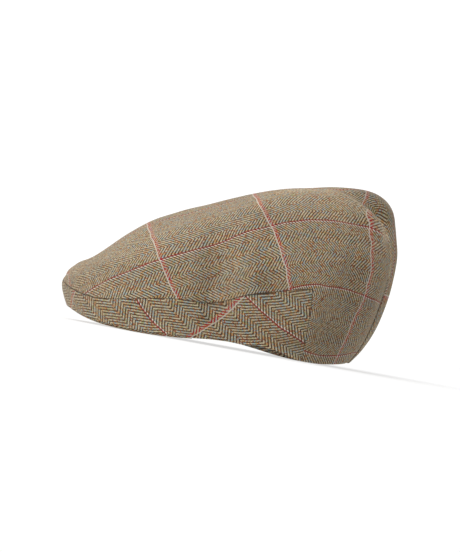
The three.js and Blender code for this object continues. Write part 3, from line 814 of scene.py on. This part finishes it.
def sidePanel(name, side, material):
    last = endSeam["angle"] - halfGap / mmPerDegree
    first = halfGap / panel["frontMmPerDegree"]
    even = np.arange(cloth["columnStep"], last - 1.5, cloth["columnStep"])
    columns = np.concatenate([[first] + panel["startFine"], even, last - np.array(panel["endFine"])])
    bottom = panelEdge(columns)[:, None]
    top = (seamShare(columns) - halfGap / mmPerShare)[:, None]
    low = bottom + np.array(panel["lowFine"]) / mmPerShare
    high = top - np.array(panel["topFine"]) / mmPerShare
    middle = low[:, -1:] + (high[:, :1] - low[:, -1:]) * np.linspace(0, 1, panel["rows"] + 2)[1:-1]
    shares = np.concatenate([low, middle, high], 1)
    column = np.broadcast_to(columns[:, None], shares.shape)
    angle = leanAngle(column, shares)
    point = plainPoint(angle, shares)
    normal = surfaceNormal(angle, shares)
    # Distances in mm to the four edges
    toTop = (top - shares) * mmPerShare
    toEnd = (last - column) * mmPerDegree
    toFront = (column - first) * panel["frontMmPerDegree"]
    toHem = (shares - bottom) * mmPerShare
    inset = roundInset(np.minimum(np.minimum(toTop, toEnd + 0.2), toFront), cloth["seamRadius"])
    raised = foldHeight(angle, shares) + rowHeight(angle, shares, puckerRows)
    raised += unevenness(point * np.array([side, 1, 1]))
    raised += panel["topPucker"] * ripple(column * mmPerColumn, 11) * np.exp(-toTop / panel["topFade"])
    raised += panel["endPucker"] * ripple(shares * mmPerShare, 12) * np.exp(-toEnd / panel["endFade"])
    # The turned-under hem shows as a recessed strip under the fold on the side; painted shade darkens the
    # strip and a painted highlight lightens the lip above it.
    strip = panel["strip"] * between(panel["stripStarts"], panel["stripEnds"], angle)
    turned = 1 - ease(strip - 0.2, strip + 0.3, toHem + 0.4)
    lip = swell(strip + 0.5, panel["lipWidth"], toHem) * ease(0.2, 1.5, strip)
    raised += panel["lip"] * lip
    rimInset = roundInset(toHem, cloth["hemRadius"]) * (1 - 0.7 * turned) + panel["stripDepth"] * turned
    outer, inner = clothWalls(point, normal, raised, inset, rimInset, rimInset)
    laid = sideCloth(angle, shares).reshape(-1, 2)
    ids = np.arange(shares.size).reshape(shares.shape)
    quads = np.stack([ids[:-1, :-1], ids[1:, :-1], ids[1:, 1:], ids[:-1, 1:]], -1).reshape(-1, 4)
    if side < 0:
        outer, inner = outer * np.array([-1, 1, 1]), inner * np.array([-1, 1, 1])
        quads = quads[:, ::-1]
        laid = laid * np.array([1, -1])
    oneCloth = np.zeros(len(quads), bool)
    made = closedShell(outer.reshape(-1, 3), inner.reshape(-1, 3), quads, laid, laid, oneCloth)
    piece = meshObject(name, *made, material)
    # Painted shade and highlights from the rows, the hem strip, its lip and the seam
    shade = marksAt(paintedShadeRows, angle, shares) + panel["stripPaintedShade"] * turned - panel["lipPaintedHighlight"] * lip
    setMarks(piece, marksAt(rubbedRows, angle, shares), shade + seamShade(angle, toTop))
    return piece


opening = {"halfWidth": 79.0, "halfLength": 97.0, "centreY": 12.5}
peakBoard = {
    "end": 74.0, "rise": 6.5, "thickness": 3.2, "edgeRound": 1.6, "underCloth": 1.0, "tuckedIn": 1.7,
    "tuckedFrom": (32, 48), "columns": 119, "acrossRows": 20, "edgeRows": 9,
}
headBand = {
    "thickness": 1.4, "height": 27, "flare": 2.5, "flareFrom": (80, 130), "insidePeak": 0.4, "insideRim": 0.7,
    "backFrom": (70, 100), "foot": 1.2, "footBehind": 1.6, "columns": 91, "rows": 12,
}


def openingRadius(angle):
    # Distance from the middle to the oval head opening, which lies a little further back.
    turn = np.radians(angle)
    x = np.sin(turn) / opening["halfWidth"]
    y = -np.cos(turn) / opening["halfLength"]
    shift = opening["centreY"] / opening["halfLength"]
    a = x * x + y * y
    b = -2 * y * shift
    return (-b + np.sqrt(b * b - 4 * a * (shift * shift - 1))) / (2 * a)


def innerRise(angle):
    # The peak's inner edge arches up, most in front.
    share = np.minimum(np.abs(angle), peakBoard["end"]) / peakBoard["end"]
    return peakBoard["rise"] * np.cos(share * math.pi / 2)


def tubeQuads(here, there):
    return np.stack([here, there, np.roll(there, -1, 1), np.roll(here, -1, 1)], -1).reshape(-1, 4)


def peakPiece(material):
    angles = np.linspace(-peakBoard["end"], peakBoard["end"], peakBoard["columns"])
    turn = np.radians(angles)
    rim = levels(np.abs(angles))
    thick = peakBoard["thickness"]
    tucked = peakBoard["tuckedIn"] * ease(*peakBoard["tuckedFrom"], np.abs(angles))
    start = rim[0] - peakBoard["underCloth"] - tucked - cloth["hemRadius"]
    innerR = openingRadius(angles)
    # Round the board: inwards along the underside, round the front edge, and back along the top.
    across = np.linspace(0.02, 1, peakBoard["acrossRows"])
    section = [(a, 0.0, 0.0) for a in across[::-1]]
    for h in np.linspace(-math.pi / 2, math.pi / 2, peakBoard["edgeRows"]):
        section.append((0.0, (1 + math.sin(h)) / 2, peakBoard["edgeRound"] * math.cos(h)))
    section += [(a, 1.0, 0.0) for a in across]
    rings = []
    for inwards, level, bulge in section:
        r = start + (innerR - start) * inwards + bulge
        climb = innerRise(angles) * inwards * inwards * (3 - 2 * inwards)
        rings.append(aroundPoint(r, turn, rim[1] + cloth["floorLift"] + climb + thick * level))
    ring = np.stack(rings, 1)
    count, around = ring.shape[:2]
    ids = np.arange(count * around).reshape(count, around)
    points = ring.reshape(-1, 3)
    side = np.sign(points[:, 0] + 1e-9)
    laid = np.stack([-points[:, 1] - 40, points[:, 0] + (points[:, 2] - 3) * side], -1)
    caps = []
    for end, step in ((0, 1), (count - 1, -1)):
        for k in range(around // 2):
            corners = [ids[end, n % around] for n in (k, k + 1, around - k - 2, around - k - 1)]
            if len(set(corners)) == 4:
                caps.append(corners[::step])
    quads = np.concatenate([tubeQuads(ids[:-1], ids[1:]), np.array(caps)])
    return meshObject("peak_tweed", points, quads, laid[quads], material)


def sweatband(material):
    half = np.linspace(0, 180, headBand["columns"])
    columns = np.concatenate([-half[1:-1][::-1], half])
    size = np.abs(columns)
    turn = np.radians(columns)
    rim = levels(size)
    front = openingRadius(columns) - headBand["insidePeak"]
    behind = rim[0] - cloth["thickness"] - headBand["insideRim"]
    toBack = ease(*headBand["backFrom"], size)
    foot = rim[1] + cloth["floorLift"] + innerRise(size) + headBand["foot"] + headBand["footBehind"] * toBack
    rows = np.linspace(0.03, 0.97, headBand["rows"])
    section = [(h, 0) for h in rows] + [(1, 0.5)] + [(h, 1) for h in rows[::-1]] + [(0, 0.5)]
    rings = []
    for height, depth in section:
        flare = height * headBand["flare"] * ease(*headBand["flareFrom"], size)
        r = front + (behind - front) * toBack + flare - depth * headBand["thickness"]
        rings.append(aroundPoint(r, turn, foot + height * headBand["height"]))
    ring = np.stack(rings, 1)
    ids = np.arange(ring.size // 3).reshape(ring.shape[:2])
    quads = tubeQuads(ids, np.roll(ids, -1, 0))
    along = np.concatenate([[0], np.linalg.norm(np.diff(ring[:, 0], axis=0), axis=1).cumsum()])
    laid = np.stack([np.broadcast_to(along[:, None], ids.shape), ring[..., 2]], -1).reshape(-1, 2)
    return meshObject("sweatband_cloth", ring.reshape(-1, 3), quads, laid[quads], material)


def linear(*shades):
    parts = [s / 255 for s in shades]
    return tuple(p / 12.92 if p <= 10 / 255 else ((p + 0.055) / 1.055) ** 2.4 for p in parts) + (1.0,)


class Graph:
    # A material's nodes; every method makes one node and gives back its output.
    def __init__(self, name):
        self.material = bpy.data.materials.new(name)
        self.material.use_nodes = True
        self.tree = self.material.node_tree
        self.tree.nodes.clear()
        output = self.node("OutputMaterial")
        self.shader = self.node("BsdfPrincipled")
        self.tree.links.new(self.shader.outputs["BSDF"], output.inputs["Surface"])

    def node(self, kind, inputs=(), **settings):
        made = self.tree.nodes.new("ShaderNode" + kind)
        for name, value in settings.items():
            setattr(made, name, value)
        for socket, value in inputs:
            self.feed(made.inputs[socket], value)
        return made

    def feed(self, socket, value):
        if isinstance(value, bpy.types.NodeSocket):
            self.tree.links.new(value, socket)
        else:
            socket.default_value = value

    def math(self, operation, *values):
        return self.node("Math", enumerate(values), operation=operation).outputs[0]

    def plus(self, a, b):
        return self.math("ADD", a, b)

    def minus(self, a, b):
        return self.math("SUBTRACT", a, b)

    def times(self, a, b):
        return self.math("MULTIPLY", a, b)

    def mix(self, factor, a, b):
        return self.node("Mix", (("Factor", factor), (6, a), (7, b)), data_type="RGBA").outputs[2]

    def blend(self, factor, a, b):
        return self.node("Mix", (("Factor", factor), (2, a), (3, b))).outputs[0]

    def vector(self, *values):
        return self.node("CombineXYZ", enumerate(values)).outputs[0]

    def noise(self, where, scale, detail=2.0, rough=0.5):
        sockets = (("Vector", where), ("Scale", scale), ("Detail", detail), ("Roughness", rough))
        return self.node("TexNoise", sockets).outputs["Fac"]

    def white(self, *values):
        # The same random value all over each whole number
        where = self.vector(*values)
        return self.node("TexWhiteNoise", (("Vector", where),), noise_dimensions="3D").outputs["Value"]

    def palette(self, value, wools):
        made = self.node("ValToRGB", ((0, value),))
        made.color_ramp.interpolation = "CONSTANT"
        while len(made.color_ramp.elements) < len(wools):
            made.color_ramp.elements.new(1.0)
        for element, (start, shade) in zip(made.color_ramp.elements, wools):
            element.position = start
            element.color = linear(*shade)
        return made.outputs[0]

    def shaded(self, colour, level):
        return self.node("VectorMath", ((0, colour), ("Scale", level)), operation="SCALE").outputs[0]

    def clothPlace(self):
        place = self.node("UVMap", uv_map="cloth")
        split = self.node("SeparateXYZ", ((0, place.outputs[0]),))
        return split.outputs[0], split.outputs[1]

    def mark(self, name):
        return self.node("Attribute", attribute_name=name).outputs["Fac"]

    def bump(self, height, strength, distance):
        made = self.node("Bump", (("Height", height), ("Strength", strength), ("Distance", distance)))
        self.feed(self.shader.inputs["Normal"], made.outputs[0])

    def finish(self, **levels):
        for name, value in levels.items():
            self.shader.inputs[name.replace("_", " ")].default_value = value
        return self.material


# The check repeats every so many mm, ends and picks; each pair of twill bands is so many ends wide.
topWeave = {
    "acrossMm": 54, "ends": 78, "alongMm": 93.33, "picks": 132, "pairEnds": 26, "fallEnds": 12, "cream": 0.88,
}
sideWeave = {
    "acrossMm": 72, "ends": 92, "alongMm": 93.33, "picks": 120, "pairEnds": 23, "fallEnds": 10, "cream": 0.72,
}
# The dyed wools in the light ends, the dark picks and the loose fibres: where each share starts, and colour
paleWools = [
    (0, (192, 180, 151)), (0.3, (149, 164, 162)), (0.54, (176, 159, 126)), (0.72, (159, 159, 113)),
    (0.81, (186, 139, 87)), (0.92, (156, 98, 68)),
]
darkWools = [
    (0, (82, 54, 38)), (0.45, (58, 42, 34)), (0.65, (116, 66, 44)), (0.82, (80, 74, 50)),
    (0.93, (130, 98, 66)),
]
veilWools = [
    (0, (182, 164, 130)), (0.24, (118, 98, 74)), (0.44, (158, 156, 144)), (0.62, (98, 78, 60)),
    (0.76, (196, 178, 148)), (0.9, (152, 104, 74)),
]
lineWools = {"red": (150, 8, 30), "cream": (198, 190, 176), "white": (224, 216, 204), "mean": (130, 113, 93)}
# Unevenness of the yarn: sizes in mm of cloth, scales for each mm, and pieces of one dye for each mm.
yarn = {
    "wander": 1.6, "wanderScale": 0.05, "warpPieces": 0.45, "weftPieces": 0.4, "pieceStagger": 0.37,
    "floatRound": 0.4, "floatPower": 4.0, "sideRound": 0.3, "sidePower": 2.5, "hairScale": 1.1,
    "depthShade": (0.62, 1.1), "hairShade": (0.59, 1.37), "hairBump": 0.8, "bump": (0.35, 0.00025),
}
# The check lines: where one long line lies in mm, how many ends or picks they take, and their strength
checkLines = {
    "longAt": 27.0, "redEnds": 1.6, "whiteEnd": (2.1, 0.5), "creamPicks": 1.2, "redPicks": 5.2,
    "dashPicks": 3.0, "redFrom": 0.72, "redOnWeft": 0.28, "redOnWarp": 0.1,
}
# The loose fibres over the weave: how much of it they cover, and the threads in one tuft
veilCover = {
    "scale": 0.07, "middle": 0.45, "gain": 0.8, "least": 0.04, "most": 0.75, "tuft": 1.6, "mean": 0.12,
    "fibreShade": (0.1, 1.9),
}


def tweed(name, weave):
    # Two-and-two herringbone: warp ends run along u, weft picks along v, both in mm of cloth.
    g = Graph(name)
    red, cream, white, mean = [linear(*lineWools[k]) for k in ("red", "cream", "white", "mean")]
    u, v = g.clothPlace()
    wander = [g.times(axis, yarn["wanderScale"]) for axis in (u, v)]
    wander = g.minus(g.noise(g.vector(*wander), 1.0, 3.0), 0.5)
    wander = g.times(wander, yarn["wander"])
    pick = g.math("DIVIDE", g.plus(u, wander), weave["alongMm"] / weave["picks"])
    end = g.minus(g.plus(v, wander), checkLines["longAt"])
    end = g.plus(g.math("DIVIDE", end, weave["acrossMm"] / weave["ends"]), 0.5)
    i, j = g.math("FLOOR", pick), g.math("FLOOR", end)
    fu, fv = g.minus(pick, i), g.minus(end, j)
    m = g.math("FLOORED_MODULO", j, weave["pairEnds"])
    rising = g.math("GREATER_THAN", m, weave["fallEnds"] - 0.5)
    across = g.blend(rising, g.times(m, -1), g.minus(m, weave["fallEnds"]))
    t = g.math("FLOORED_MODULO", g.plus(i, across), 4.0)
    warpUp = g.math("LESS_THAN", t, 1.5)
    # Along each float, and across it, for the rounded look of the yarn, given by a bump and by painted shade
    # at its ends and sides
    weftStep = g.blend(rising, g.minus(3.0, t), g.minus(t, 2.0))
    floatAt = g.minus(g.blend(warpUp, g.plus(weftStep, fv), g.plus(t, fu)), 1.0)
    crossAt = g.minus(g.blend(warpUp, fu, fv), 0.5)
    endRound = g.math("POWER", g.math("ABSOLUTE", floatAt), yarn["floatPower"])
    sideRound = g.math("POWER", g.math("ABSOLUTE", g.times(crossAt, 2.0)), yarn["sidePower"])
    fallen = g.times(sideRound, yarn["sideRound"])
    height = g.minus(1.0, g.math("MULTIPLY_ADD", endRound, yarn["floatRound"], fallen))
    # Every few mm of an end or a pick is spun from differently dyed wool.
    stagger = [g.times(thread, yarn["pieceStagger"]) for thread in (j, i)]
    warpPiece = g.math("FLOOR", g.math("MULTIPLY_ADD", u, yarn["warpPieces"], stagger[0]))
    weftPiece = g.math("FLOOR", g.math("MULTIPLY_ADD", v, yarn["weftPieces"], stagger[1]))
    warp = g.palette(g.white(j, warpPiece, 1.0), paleWools)
    weft = g.palette(g.white(weftPiece, i, 5.0), darkWools)
    # Check lines: a dashed red end beside a white one; a cream line before red picks.
    endLine = g.math("FLOORED_MODULO", g.plus(end, 1), weave["ends"])
    dash = g.white(g.math("FLOOR", g.math("DIVIDE", pick, checkLines["dashPicks"])), 3.0)
    redEnd = g.math("LESS_THAN", endLine, checkLines["redEnds"])
    redEnd = g.times(redEnd, g.blend(dash, checkLines["redFrom"], 1.0))
    warp = g.mix(redEnd, warp, red)
    warp = g.mix(g.math("COMPARE", endLine, *checkLines["whiteEnd"]), warp, white)
    weft = g.mix(g.times(redEnd, checkLines["redOnWeft"]), weft, red)
    pickLine = g.math("FLOORED_MODULO", pick, weave["picks"])
    redPick = g.math("LESS_THAN", pickLine, checkLines["redPicks"])
    redPick = g.times(redPick, g.math("GREATER_THAN", pickLine, checkLines["creamPicks"]))
    weft = g.mix(redPick, weft, red)
    warp = g.mix(g.times(redPick, checkLines["redOnWarp"]), warp, red)
    creamPick = g.math("LESS_THAN", pickLine, checkLines["creamPicks"])
    creamPick = g.times(creamPick, weave["cream"])
    colour = g.mix(creamPick, g.mix(warpUp, weft, warp), cream)
    hairs = g.noise(g.vector(u, v), yarn["hairScale"], 3.0, 0.7)
    # Painted shade where each float dips at its ends and sides; the hairs vary the tone at random.
    level = g.times(g.blend(height, *yarn["depthShade"]), g.blend(hairs, *yarn["hairShade"]))
    colour = g.shaded(colour, level)
    # Loose fibres veil the weave here and there, most where it has been rubbed.
    veil = g.vector(*[g.times(axis, veilCover["scale"]) for axis in (u, v)], 9.0)
    veil = g.minus(g.noise(veil, 1.0), veilCover["middle"])
    veil = g.math("MULTIPLY_ADD", veil, veilCover["gain"], g.mark("rubbed"))
    veil = g.math("MINIMUM", g.math("MAXIMUM", veil, veilCover["least"]), veilCover["most"])
    tuft = [g.math("FLOOR", g.math("DIVIDE", thread, veilCover["tuft"])) for thread in (pick, end)]
    fibres = g.shaded(g.palette(g.white(*tuft, 8.0), veilWools), g.blend(hairs, *veilCover["fibreShade"]))
    colour = g.mix(veil, colour, g.mix(veilCover["mean"], fibres, mean))
    # The shade attribute darkens the colour as painted shade, or lightens it as a painted highlight where it
    # is negative.
    colour = g.shaded(colour, g.minus(1.0, g.mark("shade")))
    g.feed(g.shader.inputs["Base Color"], colour)
    g.bump(g.math("MULTIPLY_ADD", hairs, yarn["hairBump"], height), *yarn["bump"])
    return g.finish(Roughness=0.92, Specular_IOR_Level=0.2, Sheen_Weight=0.24, Sheen_Roughness=0.5,
                    Sheen_Tint=linear(236, 222, 200))


bandTwill = {
    "ribs": 7.0, "contrast": 0.6, "wearScale": 0.2, "wear": 0.3, "bump": (0.4, 0.0002),
    "dark": (38, 34, 30), "light": (66, 58, 50), "worn": (80, 72, 62),
}


def bandCloth(name):
    # A dark diagonal rib, a little paler where it has worn
    g = Graph(name)
    u, v = g.clothPlace()
    ribs = g.math("SINE", g.times(g.plus(u, v), bandTwill["ribs"]))
    ribs = g.math("MULTIPLY_ADD", ribs, 0.5, 0.5)
    wear = [g.times(axis, bandTwill["wearScale"]) for axis in (u, v)]
    wear = g.times(g.noise(g.vector(*wear), 1.0, 3.0), bandTwill["wear"])
    dark, light, worn = [linear(*bandTwill[k]) for k in ("dark", "light", "worn")]
    colour = g.mix(wear, g.mix(g.times(ribs, bandTwill["contrast"]), dark, light), worn)
    g.feed(g.shader.inputs["Base Color"], colour)
    g.bump(ribs, *bandTwill["bump"])
    return g.finish(Roughness=0.75)


topTweed = tweed("tweed_top", topWeave)
sideTweed = tweed("tweed_side", sideWeave)
crown = crownTop(topTweed)
sideLeft = sidePanel("side_panel_left_tweed", 1, sideTweed)
sideRight = sidePanel("side_panel_right_tweed", -1, sideTweed)
peak = peakPiece(topTweed)
band = sweatband(bandCloth("sweatband_twill"))
for piece, node, slot in (
    (crown, "crown_top", "tweed_top"),
    (sideLeft, "side_panel_left", "tweed_side_panel_left"),
    (sideRight, "side_panel_right", "tweed_side_panel_right"),
    (peak, "peak", "tweed_peak"),
    (band, "sweatband", "sweatband_cloth"),
):
    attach(piece, "root")
    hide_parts(node)
print("stage: pieces made")


studio = {
    "floorRadius": 30, "floorSides": 64, "floorGrey": 0.32, "floorGlow": 0.64,
    "ambient": 0.35, "backdrop": 1.1, "lens": 140, "sensor": 36, "clip": (0.05, 60),
    "pitch": 1.23, "roll": 10.3, "cameraAt": (1.8, 0.0012, 0.02072),
}
# name, direction it shines from, strength, softness in degrees
suns = [("key", (0.5, -0.6, 1.0), 2.2, 45), ("back", (-0.55, -0.35, 1.0), 1.05, 40)]


def addFloor():
    mesh = bpy.data.meshes.new("floor")
    radius, sides = studio["floorRadius"], studio["floorSides"]
    turns = np.linspace(0, 2 * math.pi, sides + 1)[:-1]
    ring = [(radius * math.cos(a), radius * math.sin(a), 0) for a in turns]
    mesh.from_pydata(ring, [], [list(range(sides))])
    piece = placed("floor", mesh)
    g = Graph("floor_white")
    grey = studio["floorGrey"]
    g.finish(Base_Color=(grey, grey, grey, 1), Roughness=0.9, Specular_IOR_Level=0.1)
    g.finish(Emission_Color=(1, 1, 1, 1), Emission_Strength=studio["floorGlow"])
    mesh.materials.append(g.material)


def addSun(name, towards, strength, softness):
    data = bpy.data.lights.new(name, "SUN")
    data.energy = strength
    data.angle = math.radians(softness)
    lamp = placed(name, data)
    lamp.location = towards
    lamp.rotation_mode = "QUATERNION"
    lamp.rotation_quaternion = (-Vector(towards)).to_track_quat("-Z", "Y")


def addCamera():
    # Level with the lower edge, looking across the wearer's left side, turned a little in the picture.
    data = bpy.data.cameras.new("camera")
    data.lens = studio["lens"]
    data.sensor_width = studio["sensor"]
    data.clip_start, data.clip_end = studio["clip"]
    camera = placed("camera", data)
    pitch, roll = math.radians(studio["pitch"]), math.radians(studio["roll"])
    forward = Vector((-math.cos(pitch), 0, math.sin(pitch)))
    right = Vector((0, 1, 0))
    up = right.cross(forward)
    across = right * math.cos(roll) + up * math.sin(roll)
    upward = -right * math.sin(roll) + up * math.cos(roll)
    turn = Matrix((across, upward, -forward)).transposed()
    camera.matrix_world = Matrix.Translation(studio["cameraAt"]) @ turn.to_4x4()
    scene.camera = camera


def addWorld():
    # The backdrop looks white, and lights the cap softly from all round.
    world = bpy.data.worlds.new("studio")
    world.use_nodes = True
    nodes, links = world.node_tree.nodes, world.node_tree.links
    backdrop = nodes["Background"]
    backdrop.inputs["Color"].default_value = (1, 1, 1, 1)
    lightPath = nodes.new("ShaderNodeLightPath")
    seenLevel = nodes.new("ShaderNodeMapRange")
    seenLevel.inputs["To Min"].default_value = studio["ambient"]
    seenLevel.inputs["To Max"].default_value = studio["backdrop"]
    links.new(lightPath.outputs["Is Camera Ray"], seenLevel.inputs["Value"])
    links.new(seenLevel.outputs["Result"], backdrop.inputs["Strength"])
    scene.world = world
    scene.view_settings.view_transform = "Standard"


addWorld()
addFloor()
for sun in suns:
    addSun(*sun)
addCamera()
print("stage: studio set")
